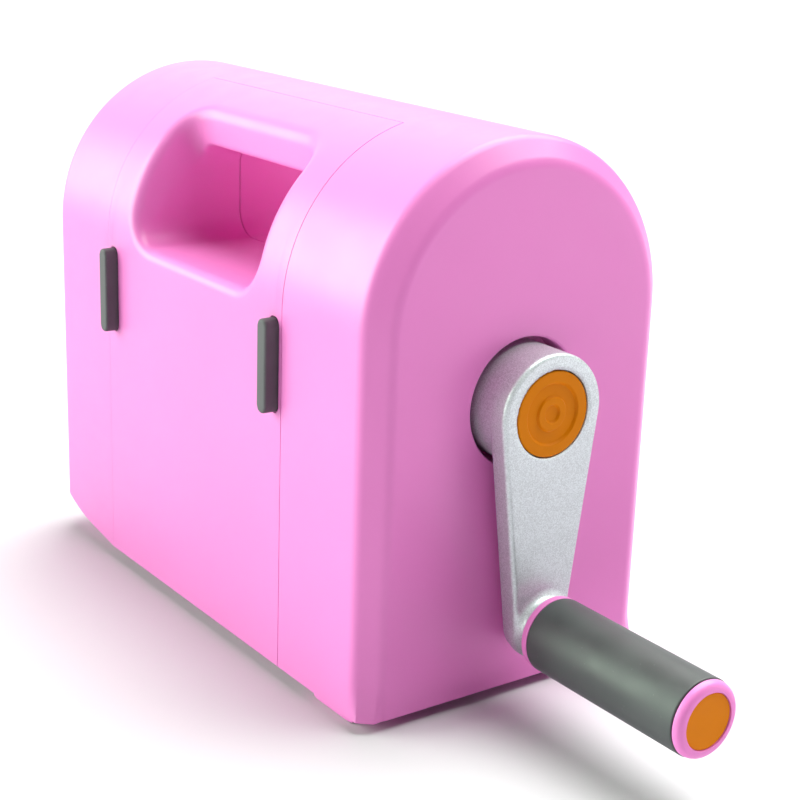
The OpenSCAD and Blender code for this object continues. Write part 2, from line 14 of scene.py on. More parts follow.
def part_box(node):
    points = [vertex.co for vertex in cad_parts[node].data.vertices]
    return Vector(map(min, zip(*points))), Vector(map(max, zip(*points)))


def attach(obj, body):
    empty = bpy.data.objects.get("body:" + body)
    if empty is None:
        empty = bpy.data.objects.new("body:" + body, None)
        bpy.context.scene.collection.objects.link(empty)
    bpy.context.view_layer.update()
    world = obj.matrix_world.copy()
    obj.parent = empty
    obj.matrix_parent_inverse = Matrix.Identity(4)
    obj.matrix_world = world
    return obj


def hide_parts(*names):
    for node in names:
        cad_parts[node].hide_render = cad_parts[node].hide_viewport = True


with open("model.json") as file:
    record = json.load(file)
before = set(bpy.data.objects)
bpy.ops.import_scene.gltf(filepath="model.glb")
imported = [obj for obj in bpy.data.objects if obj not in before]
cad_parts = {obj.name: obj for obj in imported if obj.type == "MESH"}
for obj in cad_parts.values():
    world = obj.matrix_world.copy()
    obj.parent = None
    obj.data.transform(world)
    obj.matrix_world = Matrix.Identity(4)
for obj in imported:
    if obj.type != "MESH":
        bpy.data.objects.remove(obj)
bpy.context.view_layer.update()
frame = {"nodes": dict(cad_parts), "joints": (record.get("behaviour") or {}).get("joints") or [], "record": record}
MM = 0.001


def box_mm(node):
    """Lowest and highest corner of a CAD node, in millimetres."""
    low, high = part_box(node)
    return np.array(low) / MM, np.array(high) / MM


# ---- Sizes, from the frame ----

DOOR_LOW, DOOR_HIGH = box_mm("front_door_shell")
RIGHT_LOW, RIGHT_HIGH = box_mm("right_housing")
LEFT_LOW, LEFT_HIGH = box_mm("left_housing")
BRIDGE_LOW, BRIDGE_HIGH = box_mm("handle_bridge_front")
PLATFORM_LOW, PLATFORM_HIGH = box_mm("front_platform")
STRIP_LOW, STRIP_HIGH = box_mm("front_bumpers")
STRIP_HALF = (3.5, (STRIP_HIGH[2] - STRIP_LOW[2]) / 2)
STRIP_X = (STRIP_LOW[0] + STRIP_HALF[0], STRIP_HIGH[0] - STRIP_HALF[0])
STRIP_Z = (STRIP_LOW[2] + STRIP_HIGH[2]) / 2
HUB_LOW, HUB_HIGH = box_mm("crank_arm")
BUTTON_LOW, BUTTON_HIGH = box_mm("crank_button")
GRIP_LOW, GRIP_HIGH = box_mm("grip_core")
SLEEVE_LOW, SLEEVE_HIGH = box_mm("grip_sleeve")
CAP_LOW, CAP_HIGH = box_mm("grip_end_cap")
CAP_R = (CAP_HIGH[2] - CAP_LOW[2]) / 2

ARCH_R = RIGHT_HIGH[1]
ARCH_Z = RIGHT_HIGH[2] - ARCH_R
BASE_Z = DOOR_LOW[2]
MID_X = (DOOR_LOW[0] + DOOR_HIGH[0]) / 2
DOOR_HALF = (DOOR_HIGH[0] - DOOR_LOW[0]) / 2
SEAM_HALF = RIGHT_LOW[0] - MID_X
PART_Y = -DOOR_HIGH[1]
SHELF_Z = PLATFORM_HIGH[2]
WALL = 3.0

# Hand opening
TUNNEL_HALF_W = 52.5
TUNNEL_Z = (163.0, 208.0)
TUNNEL_R = 12.0
SCOOP_HALF_W = 55.0
SCOOP_R = 18.0
RIM_SOFT = 5.5
BAR_Y = 40.0

# Slots of the rubber strips
SLOT_GAP = 0.45
SLOT_DEPTH = 1.4

# End bevel
BEVEL_ALONG = 8.5
BEVEL_IN = 9.8
BEVEL_SOFT = 2.8
CORNER_RISE = 17.0

# Feet: along the case from its middle, across it, top above the base, corner radius and pocket
LONG_FOOT = ((100, 130), (50, 71.8), 0.5, 2.5, 1.8)
ROUND_FOOT = ((-101, -79.5), (39.5, 60.5), 5, 10.4, 1.2)
PAD_T = 2.0
FOOT_GAP = 0.5

# Crank
CRANK = next(j for j in frame["joints"] if j["name"] == "crank_spin")
GRIP = next(j for j in frame["joints"] if j["name"] == "grip_spin")
CRANK_AT = np.array(CRANK["pos_m"]) / MM
GRIP_AT = np.array(GRIP["pos_m"]) / MM
CRANK_REACH = math.hypot(GRIP_AT[1] - CRANK_AT[1], GRIP_AT[2] - CRANK_AT[2])
CRANK_LEAN = math.atan2(GRIP_AT[1] - CRANK_AT[1], CRANK_AT[2] - GRIP_AT[2])
HUB_R = HUB_HIGH[2] - CRANK_AT[2]
ARM_T = 10.0
ARM_TILT = 2.3
ARM_SOFT = 1.9
HUB_SOFT = 0.8
BOSS_H = 3.6
BOSS_FILLET = 4.5
TIP_R = 13.0
ARM_FRONT = HUB_HIGH[0] - BOSS_H
RECESS_R = HUB_R + 2.5
RECESS_DEPTH = 12.0
RECESS_SOFT = 1.2
SHAFT_HOLE_R = 8.0
BUTTON_R = (BUTTON_HIGH[1] - BUTTON_LOW[1]) / 2
BUTTON_GAP = 0.45
LIP_W = 1.3
DISH_DEPTH = 1.1


# ---- Mesh helpers ----

def make_mesh(name, points, faces):
    """An object from points in millimetres and faces of point numbers, with its normals turned outwards."""
    mesh = bpy.data.meshes.new(name)
    mesh.from_pydata((np.asarray(points, float) * MM).tolist(), [], [list(map(int, f)) for f in faces])
    work = bmesh.new()
    work.from_mesh(mesh)
    bmesh.ops.remove_doubles(work, verts=work.verts, dist=1e-7)
    bmesh.ops.recalc_face_normals(work, faces=work.faces)
    work.to_mesh(mesh)
    work.free()
    mesh.validate()
    piece = bpy.data.objects.new(name, mesh)
    bpy.context.scene.collection.objects.link(piece)
    return piece


def ring_faces(rings, size, closed=False):
    """Quads between rings of the same size, whose points follow each other."""
    faces = []
    count = rings if closed else rings - 1
    for r in range(count):
        a, b = r * size, (r + 1) % rings * size
        for i in range(size):
            j = (i + 1) % size
            faces.append((a + i, a + j, b + j, b + i))
    return faces


def closed_skin(rings):
    """Points and faces of a skin through rings, with both ends closed."""
    size = len(rings[0])
    ends = [range(size), range((len(rings) - 1) * size, len(rings) * size)]
    return np.concatenate(rings), ring_faces(len(rings), size) + ends


def join(name, parts):
    """One object from several (points, faces)."""
    points, faces, count = [], [], 0
    for p, f in parts:
        points.append(p)
        faces += [[i + count for i in face] for face in f]
        count += len(p)
    return make_mesh(name, np.concatenate(points), faces)


def bend(a, b, c, steps):
    """Points of a curve from a to c that bends at b."""
    a, b, c = (np.asarray(point, float) for point in (a, b, c))
    t = np.linspace(0, 1, steps + 1)[:, None]
    return (1 - t) ** 2 * a + 2 * t * (1 - t) * b + t**2 * c


def rounding(a, b, c, count):
    """Rings of a curve from ring a to ring c that bends at ring b, without c."""
    ring = []
    for t in np.arange(count) / count:
        ring.append((1 - t) ** 2 * a + 2 * t * (1 - t) * b + t**2 * c)
    return ring


def steps_between(a, b, count):
    """Rings from a towards b, without b."""
    return [a + (b - a) * k / count for k in range(count)]


def rounded_ring(middle, half, radius, counts):
    """A rounded rectangle as points, clockwise from the middle of its top left corner.

    The counts are the points of its top, right, bottom and left.
    """
    points = []
    for side in range(4):
        along, up = (half[0], half[1]) if side % 2 == 0 else (half[1], half[0])
        corner = radius * math.pi / 4
        straight = 2 * (along - radius)
        t = np.arange(counts[side]) / counts[side] * (2 * corner + straight)
        safe = max(radius, 1e-9)
        first = math.radians(135) - t / safe
        last = math.radians(90) - (t - corner - straight) / safe
        u = np.where(t < corner, radius - along + radius * np.cos(first), t - corner - straight / 2)
        v = np.where(t < corner, up - radius + radius * np.sin(first), up)
        u = np.where(t > corner + straight, along - radius + radius * np.cos(last), u)
        v = np.where(t > corner + straight, up - radius + radius * np.sin(last), v)
        turned = [(u, v), (v, -u), (-u, -v), (-v, u)][side]
        points.append(np.stack([middle[0] + turned[0], middle[1] + turned[1]], 1))
    return np.concatenate(points)


def lathe(name, profile, at, steps=160, closed=True):
    """A profile of (distance along X, radius) turned about an axis along X through at."""
    angle = np.linspace(0, 2 * math.pi, steps, endpoint=False)
    rings = [
        np.stack([np.full(steps, x), at[1] + r * np.cos(angle), at[2] + r * np.sin(angle)], 1)
        for x, r in profile
    ]
    return make_mesh(name, np.concatenate(rings), ring_faces(len(rings), steps, closed))


def soft_corners(path, radii, steps):
    """A path of 2-D points with each inner corner rounded by its radius."""
    path = [np.asarray(p, float) for p in path]
    out = [path[0]]
    for k in range(1, len(path) - 1):
        if radii[k] <= 0:
            out.append(path[k])
            continue
        a = path[k - 1] - path[k]
        b = path[k + 1] - path[k]
        start = path[k] + a / np.linalg.norm(a) * radii[k]
        end = path[k] + b / np.linalg.norm(b) * radii[k]
        out.extend(bend(start, path[k], end, steps))
    out.append(path[-1])
    return np.array(out)


def one_axis(axis, cut):
    """Index of a grid that cuts one axis and takes all of the others."""
    return tuple(cut if k == axis else slice(None) for k in range(3))


def crossings(value, grid, axis, cell):
    """Which grid edges along an axis the surface crosses, where, and which of them start inside."""
    a = value[one_axis(axis, slice(0, -1))]
    b = value[one_axis(axis, slice(1, None))]
    crossed = (a < 0) != (b < 0)
    share = np.where(crossed, a / np.where(crossed, a - b, 1), 0)
    point = grid[one_axis(axis, slice(0, -1))].copy()
    point[..., axis] += share * cell
    return crossed, point, a < 0


def net_quads(number, cells, axis, crossed, inside):
    """A quad round each crossed edge along an axis, between the four cells that share it."""
    others = [k for k in range(3) if k != axis]
    where = np.argwhere(crossed)
    where = where[np.all([(where[:, k] > 0) & (where[:, k] < cells[k]) for k in others], 0)]
    corners = []
    for i, j in ((-1, -1), (0, -1), (0, 0), (-1, 0)):
        at = where.copy()
        at[:, others[0]] += i
        at[:, others[1]] += j
        corners.append(number[tuple(at.T)])
    quads = np.stack(corners, 1)
    flip = inside[tuple(where.T)] == (axis == 1)
    quads[flip] = quads[flip][:, ::-1]
    return quads


def onto_surface(field, points, cell, rounds=4):
    """Points moved along the field's slope to where it is 0."""
    small = cell * 0.02
    for _ in range(rounds):
        here = field(points)
        pairs = [(field(points + small * way), field(points - small * way)) for way in np.eye(3)]
        slope = np.stack([(ahead - behind) / (2 * small) for ahead, behind in pairs], 1)
        length = np.maximum((slope**2).sum(1), 0.25)
        step = here[:, None] * slope / length[:, None]
        points = points - np.clip(step, -cell / 2, cell / 2)
    return points


def surface_net(field, low, high, cell):
    """Points and quads of the surface where field(points) is 0."""
    axes = [np.arange(low[k], high[k] + cell, cell) for k in range(3)]
    grid = np.stack(np.meshgrid(*axes, indexing="ij"), -1)
    value = field(grid.reshape(-1, 3)).reshape(grid.shape[:3])
    cells = np.array(value.shape) - 1
    total = np.zeros((*cells, 3))
    hits = np.zeros(cells)
    edges = []
    for axis in range(3):
        crossed, point, inside = crossings(value, grid, axis, cell)
        first, second = (k for k in range(3) if k != axis)
        for i, j in ((0, 0), (0, 1), (1, 0), (1, 1)):
            cut = [slice(None)] * 3
            cut[first] = slice(i, cells[first] + i)
            cut[second] = slice(j, cells[second] + j)
            mask = crossed[tuple(cut)]
            total += np.where(mask[..., None], point[tuple(cut)], 0)
            hits += mask
        edges.append((axis, crossed, inside))
    used = hits > 0
    number = np.full(cells, -1)
    number[used] = np.arange(used.sum())
    points = total[used] / hits[used][:, None]
    faces = [net_quads(number, cells, *edge) for edge in edges]
    return onto_surface(field, points, cell), np.concatenate(faces)


# ---- Materials ----

def new_material(name, colour, rough, metal=0.0):
    """A material with its main shader, node tree and the piece's own coordinates."""
    material = bpy.data.materials.new(name)
    material.use_nodes = True
    tree = material.node_tree
    shader = tree.nodes["Principled BSDF"]
    shader.inputs["Base Color"].default_value = (*colour, 1)
    shader.inputs["Roughness"].default_value = rough
    shader.inputs["Metallic"].default_value = metal
    place = tree.nodes.new("ShaderNodeTexCoord")
    return material, tree, shader, place


def noise(tree, place, scale, detail=3.0, rough=0.5):
    """A noise texture on the piece's own coordinates. Scale is in waves per metre."""
    node = tree.nodes.new("ShaderNodeTexNoise")
    node.inputs["Scale"].default_value = scale
    node.inputs["Detail"].default_value = detail
    node.inputs["Roughness"].default_value = rough
    tree.links.new(place.outputs["Object"], node.inputs["Vector"])
    return node


def spread(tree, source, low, high, start=0.3, end=0.7):
    """Maps a 0 to 1 pattern, stretched from start and end, onto low to high."""
    node = tree.nodes.new("ShaderNodeMapRange")
    node.inputs["From Min"].default_value = start
    node.inputs["From Max"].default_value = end
    node.inputs["To Min"].default_value = low
    node.inputs["To Max"].default_value = high
    tree.links.new(source, node.inputs["Value"])
    return node.outputs["Result"]


def tint(tree, source, low, high, start=0.3, end=0.7):
    """Maps a pattern onto two colours."""
    ramp = tree.nodes.new("ShaderNodeValToRGB")
    ramp.color_ramp.elements[0].position = start
    ramp.color_ramp.elements[1].position = end
    ramp.color_ramp.elements[0].color = (*low, 1)
    ramp.color_ramp.elements[1].color = (*high, 1)
    tree.links.new(source, ramp.inputs["Fac"])
    return ramp.outputs["Color"]


def bump(tree, shader, heights):
    """Chains bumps of (height pattern, depth in metres, strength) into the shader's normal."""
    last = None
    for source, depth, strength in heights:
        node = tree.nodes.new("ShaderNodeBump")
        node.inputs["Distance"].default_value = depth
        node.inputs["Strength"].default_value = strength
        tree.links.new(source, node.inputs["Height"])
        if last is not None:
            tree.links.new(last, node.inputs["Normal"])
        last = node.outputs["Normal"]
    tree.links.new(last, shader.inputs["Normal"])


def plastic(name, colour, rough, grain=0.00002, specular=0.5):
    """Moulded plastic: a fine etched grain, faint flow marks and slightly uneven gloss."""
    material, tree, shader, place = new_material(name, colour, rough)
    shader.inputs["Specular IOR Level"].default_value = specular
    flow = noise(tree, place, 9, 2)
    fine = noise(tree, place, 2600, 2)
    smear = noise(tree, place, 60, 4, 0.6)
    deep = tuple(c * 0.97 for c in colour)
    pale = tuple(min(1, c * 1.02) for c in colour)
    tree.links.new(tint(tree, flow.outputs["Fac"], deep, pale), shader.inputs["Base Color"])
    tree.links.new(spread(tree, smear.outputs["Fac"], rough - 0.04, rough + 0.05), shader.inputs["Roughness"])
    bump(tree, shader, [(fine.outputs["Fac"], grain, 0.35), (smear.outputs["Fac"], 0.00005, 0.06)])
    return material


def rubber(name, colour, rough=0.62):
    """Rubber: a matt skin with a fine grain, small specks of dust and faint scuffs."""
    material, tree, shader, place = new_material(name, colour, rough)
    cloud = noise(tree, place, 45, 5, 0.65)
    fine = noise(tree, place, 3200, 2)
    specks = tree.nodes.new("ShaderNodeTexVoronoi")
    specks.inputs["Scale"].default_value = 260
    tree.links.new(place.outputs["Object"], specks.inputs["Vector"])
    base = tint(tree, cloud.outputs["Fac"], tuple(c * 0.86 for c in colour), tuple(c * 1.15 for c in colour))
    dust = tree.nodes.new("ShaderNodeMix")
    dust.data_type = "RGBA"
    dust.inputs[7].default_value = (0.24, 0.24, 0.25, 1)
    tree.links.new(base, dust.inputs[6])
    tree.links.new(spread(tree, specks.outputs["Distance"], 0.5, 0, 0.02, 0.055), dust.inputs[0])
    tree.links.new(dust.outputs[2], shader.inputs["Base Color"])
    tree.links.new(spread(tree, cloud.outputs["Fac"], rough - 0.1, rough + 0.1), shader.inputs["Roughness"])
    bump(tree, shader, [(fine.outputs["Fac"], 0.00003, 0.5), (cloud.outputs["Fac"], 0.0001, 0.08)])
    return material


def casting(name, colour):
    """Silver sparkle paint on a casting: flakes that differ in brightness over a sandy skin."""
    material, tree, shader, place = new_material(name, colour, 0.42, 0.6)
    sand = noise(tree, place, 2300, 3, 0.7)
    flakes = tree.nodes.new("ShaderNodeTexVoronoi")
    flakes.inputs["Scale"].default_value = 2700
    tree.links.new(place.outputs["Object"], flakes.inputs["Vector"])
    split = tree.nodes.new("ShaderNodeSeparateColor")
    tree.links.new(flakes.outputs["Color"], split.inputs["Color"])
    deep = tuple(c * 0.84 for c in colour)
    pale = tuple(min(1, c * 1.15) for c in colour)
    tree.links.new(tint(tree, split.outputs["Red"], deep, pale, 0.1, 0.9), shader.inputs["Base Color"])
    tree.links.new(spread(tree, split.outputs["Green"], 0.34, 0.52, 0, 1), shader.inputs["Roughness"])
    bump(tree, shader, [(sand.outputs["Fac"], 0.00006, 0.45)])
    return material


def metal(name, colour, rough, grain_scale=(40, 900, 900)):
    """Machined or brushed metal, with its grain stretched across the larger scales."""
    material, tree, shader, place = new_material(name, colour, rough, 1.0)
    stretch = tree.nodes.new("ShaderNodeMapping")
    stretch.inputs["Scale"].default_value = grain_scale
    tree.links.new(place.outputs["Object"], stretch.inputs["Vector"])
    brushed = tree.nodes.new("ShaderNodeTexNoise")
    brushed.inputs["Scale"].default_value = 1.0
    brushed.inputs["Detail"].default_value = 4
    tree.links.new(stretch.outputs["Vector"], brushed.inputs["Vector"])
    cloud = noise(tree, place, 70, 3)
    deep = tuple(c * 0.85 for c in colour)
    tree.links.new(tint(tree, brushed.outputs["Fac"], deep, colour), shader.inputs["Base Color"])
    tree.links.new(spread(tree, cloud.outputs["Fac"], rough - 0.06, rough + 0.08), shader.inputs["Roughness"])
    bump(tree, shader, [(brushed.outputs["Fac"], 0.00002, 0.4)])
    return material


PINK = plastic("case_plastic", (0.86, 0.228, 0.61), 0.36, specular=0.42)
INNER_PINK = plastic("inner_plastic", (0.80, 0.21, 0.54), 0.5, 0.00004)
ORANGE = plastic("button_plastic", (0.70, 0.205, 0.0), 0.5, specular=0.08)
RUBBER = rubber("strip_rubber", (0.088, 0.083, 0.090))
GRIP_RUBBER = rubber("grip_rubber", (0.060, 0.063, 0.065), 0.5)
SILVER = casting("crank_paint", (0.55, 0.585, 0.595))
STEEL = metal("plate_steel", (0.52, 0.53, 0.55), 0.34)
BRIGHT = metal("turned_steel", (0.66, 0.67, 0.69), 0.24)
ROLLER = metal("ground_steel", (0.60, 0.61, 0.63), 0.28)
GEAR = metal("gear_steel", (0.42, 0.42, 0.44), 0.42, (300, 300, 300))
BRONZE = metal("bush_bronze", (0.62, 0.40, 0.18), 0.4, (400, 400, 400))

MATERIAL_OF = {
    "case_pink": PINK, "inner_pink": INNER_PINK, "frame_steel": STEEL, "bright_steel": BRIGHT,
    "roller_steel": ROLLER, "gear_steel": GEAR, "bush_bronze": BRONZE, "foot_rubber": RUBBER,
    "crank_silver": SILVER, "button_orange": ORANGE, "grip_pink": PINK, "grip_rubber": GRIP_RUBBER,
}


# ---- Finishing a piece ----

def round_edges(piece, width, angle=35.0, segments=3):
    """Rounds the piece's sharp edges and shades it smooth."""
    for face in piece.data.polygons:
        face.use_smooth = True
    piece.data.set_sharp_from_angle(angle=math.radians(angle))
    if width > 0:
        edge = piece.modifiers.new("edge", "BEVEL")
        edge.width = width * MM
        edge.segments = segments
        edge.limit_method = "ANGLE"
        edge.angle_limit = math.radians(angle)
        edge.use_clamp_overlap = True
        edge.miter_outer = "MITER_ARC"
    normal = piece.modifiers.new("shade", "WEIGHTED_NORMAL")
    normal.keep_sharp = width <= 0
    normal.weight = 50


def dress(piece, body, nodes, slot, width=0.5, angle=35.0):
    """Gives a new piece its place, its finish and its edges, and hides the CAD nodes it stands for."""
    piece.data.materials.append(MATERIAL_OF[slot])
    round_edges(piece, width, angle)
    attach(piece, body)
    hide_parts(*nodes)
    return piece


# ---- Doors ----

# Points along the top, right, bottom and left of each ring
COUNTS = (90, 120, 90, 120)
STRIP_COUNTS = (10, 20, 10, 20)
SKIN_STRAIGHT = ARCH_Z - BASE_Z


def skin(flat):
    """Points on the front of the arched body, from (x, distance up the skin from its lower edge)."""
    x, s = flat[:, 0], flat[:, 1]
    turn = np.maximum(s - SKIN_STRAIGHT, 0) / ARCH_R
    y = -ARCH_R * np.cos(turn)
    z = np.where(s < SKIN_STRAIGHT, BASE_Z + s, ARCH_Z + ARCH_R * np.sin(turn))
    return np.stack([x, y, z], 1)


def at_depth(flat, y):
    """Points at one depth from their (x, z)."""
    return np.stack([flat[:, 0], np.full(len(flat), y), flat[:, 1]], 1)


def tunnel_ring(y, grow=0.0):
    """The hand opening's outline where it passes a given depth."""
    middle = (MID_X, (TUNNEL_Z[0] + TUNNEL_Z[1]) / 2)
    half = (TUNNEL_HALF_W + grow, (TUNNEL_Z[1] - TUNNEL_Z[0]) / 2 + grow)
    return at_depth(rounded_ring(middle, half, TUNNEL_R + grow, COUNTS), y)


def toward(a, b, distance):
    """Points at a distance from a on the way to b, row by row."""
    way = b - a
    return a + way / np.linalg.norm(way, axis=1)[:, None] * distance


def cut_slot(piece, x, side):
    """Cuts the shallow slot that a rubber strip sits in, and keeps the cut mesh."""
    half = (STRIP_HALF[0] + SLOT_GAP, STRIP_HALF[1] + SLOT_GAP)
    flat = rounded_ring((x, STRIP_Z), half, 3.4, STRIP_COUNTS)
    rings = [at_depth(flat, y) * (1, side, 1) for y in (-80, SLOT_DEPTH - ARCH_R)]
    cutter = make_mesh("cutter", *closed_skin(rings))
    cut = piece.modifiers.new("slot", "BOOLEAN")
    cut.object = cutter
    cut.solver = "EXACT"
    done = piece.evaluated_get(bpy.context.evaluated_depsgraph_get())
    mesh = bpy.data.meshes.new_from_object(done)
    piece.modifiers.clear()
    old, piece.data = piece.data, mesh
    bpy.data.meshes.remove(old)
    bpy.data.objects.remove(cutter)


def scoop_rim(grow):
    """The scoop's rim as (x, distance up the skin), widened by grow."""
    low = TUNNEL_Z[0] - BASE_Z
    high = SKIN_STRAIGHT + ARCH_R * math.asin(math.sqrt(ARCH_R**2 - BAR_Y**2) / ARCH_R)
    half = (SCOOP_HALF_W + grow, (high - low) / 2 + grow)
    return rounded_ring((MID_X, (low + high) / 2), half, SCOOP_R + grow, COUNTS)


def door_rings():
    """The end of the tunnel, and rings from there over the scoop and its rim to the door's edge."""
    edge = skin(scoop_rim(0))
    back = tunnel_ring(-PART_Y)
    lip, knee = tunnel_ring(-PART_Y, 0.5), back.copy()
    back[:, 1] = -PART_Y - 0.7
    turn = np.clip((TUNNEL_Z[1] - 1 - knee[:, 2]) / 13, 0, 1)
    turn = turn * turn * (3 - 2 * turn)
    knee[:, 1] = (1 - turn) * (0.5 - BAR_Y) + turn * (edge[:, 1] + 9)
    knee_in, knee_out = toward(knee, back, 2.2), toward(knee, edge, 2.6)
    edge_in, edge_out = toward(edge, knee, RIM_SOFT), skin(scoop_rim(RIM_SOFT))
    rings = rounding(lip, tunnel_ring(-PART_Y), back, 4) + steps_between(back, knee_in, 6)
    rings += rounding(knee_in, knee, knee_out, 6)
    rings += steps_between(knee_out, edge_in, 7)
    rings += rounding(edge_in, edge, edge_out, 12)
    rings += [skin(scoop_rim(grow)) for grow in (RIM_SOFT, 8, 11, 14)]
    top = SKIN_STRAIGHT + ARCH_R * math.acos(PART_Y / ARCH_R)
    border = rounded_ring((MID_X, top / 2), (DOOR_HALF, top / 2), 0, COUNTS)
    start = scoop_rim(17)
    rings += [skin(start + (border - start) * k / 14) for k in range(15)]
    return back, rings


def door_back(back, rings):
    """The inner side: a flange round the tunnel, the shelf under it, and the rim of the platform's seat."""
    size = len(back)
    border = (len(rings) - 1) * size
    count = len(rings) * size
    right, bottom, left = COUNTS[0], sum(COUNTS[:2]), sum(COUNTS[:3])
    top = rings[-1][0][2]
    flat = rounded_ring((MID_X, (top + SHELF_Z) / 2), (DOOR_HALF, (top - SHELF_Z) / 2), 0, COUNTS)
    flange = at_depth(flat, -PART_Y)
    number = list(range(border, border + right + 1))
    number += [count + k for k in range(size - right - 1)]
    count += size - right - 1
    seat_y = PLATFORM_LOW[1] - 0.05
    seat = [(x, seat_y, z) for x in (MID_X + DOOR_HALF, MID_X - DOOR_HALF) for z in (BASE_Z, SHELF_Z)]
    low_r, high_r, low_l, high_l = range(count, count + 4)
    count += 4
    points = [flange[right + 1:], np.array(seat), 0.5 * (flange + back)]
    faces = []
    for i in range(size):
        j = (i + 1) % size
        faces.append((number[i], number[j], count + j, count + i))
        faces.append((count + i, count + j, j, i))
    faces.append([border + i for i in range(right, bottom + 1)] + [low_r, high_r]
                 + [number[i] for i in range(bottom, right, -1)])
    faces.append([border + i for i in range(left, size)] + [border]
                 + [number[i] for i in range(size - 1, left - 1, -1)] + [high_l, low_l])
    faces.append([border + i for i in range(bottom, left + 1)] + [low_l, low_r])
    faces.append([low_r, low_l, high_l, high_r])
    faces.append([number[i] for i in range(bottom, left + 1)] + [high_l, high_r])
    return points, faces


def door(name, body, node, side):
    """A door: the outer skin with its scoop and half of the tunnel, closed at the back as in the frame."""
    back, rings = door_rings()
    points, faces = door_back(back, rings)
    points = np.concatenate(rings + points) * (1, side, 1)
    piece = make_mesh(name, points, ring_faces(len(rings), len(back)) + faces)
    for x in STRIP_X:
        cut_slot(piece, x, side)
    return dress(piece, body, [node], "case_pink", 0.45)


door("front_door", "front_door", "front_door_shell", 1)
door("rear_door", "rear_door", "rear_door_shell", -1)


# ---- Handle bridge between the doors ----

def bridge(name, node, side):
    """Half of the fixed bridge: its top follows the arch, and the tunnel runs through it."""
    half = (BRIDGE_HIGH[0] - BRIDGE_LOW[0]) / 2
    depth = BRIDGE_LOW[1]

    def outer(y):
        top = ARCH_Z + math.sqrt(ARCH_R**2 - y**2)
        flat = rounded_ring((MID_X, (top + SHELF_Z - 2) / 2), (half, (top - SHELF_Z + 2) / 2), 0, COUNTS)
        return at_depth(flat, y)

    inner = 0.0
    rings = steps_between(tunnel_ring(inner), tunnel_ring(depth + 0.7), 6)
    rings += rounding(tunnel_ring(depth + 0.7), tunnel_ring(depth), tunnel_ring(depth, 0.7), 4)
    rings += steps_between(tunnel_ring(depth, 0.7), outer(depth), 3)
    rings += [outer(depth + (inner - depth) * k / 8) for k in range(9)]
    rings.append(0.5 * (outer(inner) + tunnel_ring(inner)))
    points = np.concatenate(rings) * (1, side, 1)
    piece = make_mesh(name, points, ring_faces(len(rings), len(rings[0]), closed=True))
    return dress(piece, "root", [node], "case_pink", 0)


bridge("bridge_front", "handle_bridge_front", 1)
bridge("bridge_rear", "handle_bridge_rear", -1)


# ---- End cases ----

# Points along the base, each side and the arch
ARCH_COUNTS = (60, 50, 150)


def arch_ring(x, inset, bottom):
    """The arched section at x, drawn in from the sides and the arch by inset."""
    half = ARCH_R - inset
    n_base, n_side, n_arch = ARCH_COUNTS
    base = np.linspace(-half, half, n_base, endpoint=False)
    up = np.linspace(bottom, ARCH_Z, n_side, endpoint=False)
    turn = np.linspace(0, math.pi, n_arch, endpoint=False)
    down = up[::-1] + (ARCH_Z - bottom) / n_side
    y = np.concatenate([base, np.full(n_side, half), half * np.cos(turn), np.full(n_side, -half)])
    z = np.concatenate([np.full(n_base, bottom), up, ARCH_Z + half * np.sin(turn), down])
    return np.stack([np.full(len(y), x), y, z], 1)


def circle_like(ring, x, radius, middle):
    """A circle at x with one point in the direction of each point of a ring."""
    angle = np.arctan2(ring[:, 2] - middle[2], ring[:, 1] - middle[1])
    y, z = middle[1] + radius * np.cos(angle), middle[2] + radius * np.sin(angle)
    return np.stack([np.full(len(ring), x), y, z], 1)


def end_line(reach, wall):
    """(distance from the seam, inset) along the case, from the seam to the flat end."""
    p = np.array([reach - wall - BEVEL_ALONG, wall])
    q = np.array([reach - wall, wall + BEVEL_IN])
    u = (q - p) / np.linalg.norm(q - p) * BEVEL_SOFT
    straight = [(a, wall) for a in np.linspace(0, p[0] - BEVEL_SOFT, 16)[:-1]]
    first = bend(p - (BEVEL_SOFT, 0), p, p + u, 9)
    last = bend(q - u, q, q + (0, BEVEL_SOFT), 9)
    return straight + [tuple(r) for r in first] + [tuple(r) for r in last]


def foot_block(x, y, top, radius, pocket):
    """A moulded foot with a pocket in its underside that the pad sits in."""
    low, high = FOOT_GAP, FOOT_GAP + 3
    middle = ((x[0] + x[1]) / 2, (y[0] + y[1]) / 2)
    rings = []
    for height, inset in ((PAD_T, pocket), (low, pocket), (low, 0), (high, 0), (top, 0)):
        half = ((x[1] - x[0]) / 2 - inset, (y[1] - y[0]) / 2 - inset)
        flat = rounded_ring(middle, half, radius - inset, (8, 8, 8, 8))
        rings.append(np.stack([flat[:, 0], flat[:, 1], np.full(len(flat), height)], 1))
    return closed_skin(rings)


def feet(side):
    """The two feet of an end case: long ones at the crank side, round ones at the other."""
    reach, across, top, radius, pocket = LONG_FOOT if side > 0 else ROUND_FOOT
    x = [MID_X + r for r in reach]
    return [foot_block(x, sorted(y * a for a in across), BASE_Z + top, radius, pocket) for y in (-1, 1)]


def swell(ring, inset, side):
    """Rounds the end bevel out towards its lower corner, and keeps it inside the corner of both faces."""
    full = math.sin(math.pi * min(inset / BEVEL_IN, 1)) / math.pi
    low = np.clip((BASE_Z + CORNER_RISE - ring[:, 2]) / CORNER_RISE, 0, 1) ** 2
    at_side = np.abs(ring[:, 1]) > np.abs(ring[:, 1]).max() - 0.01
    push = full * low * at_side
    moved = ring.copy()
    moved[:, 0] += side * BEVEL_ALONG * push
    moved[:, 1] += np.sign(ring[:, 1]) * BEVEL_IN * push
    return moved


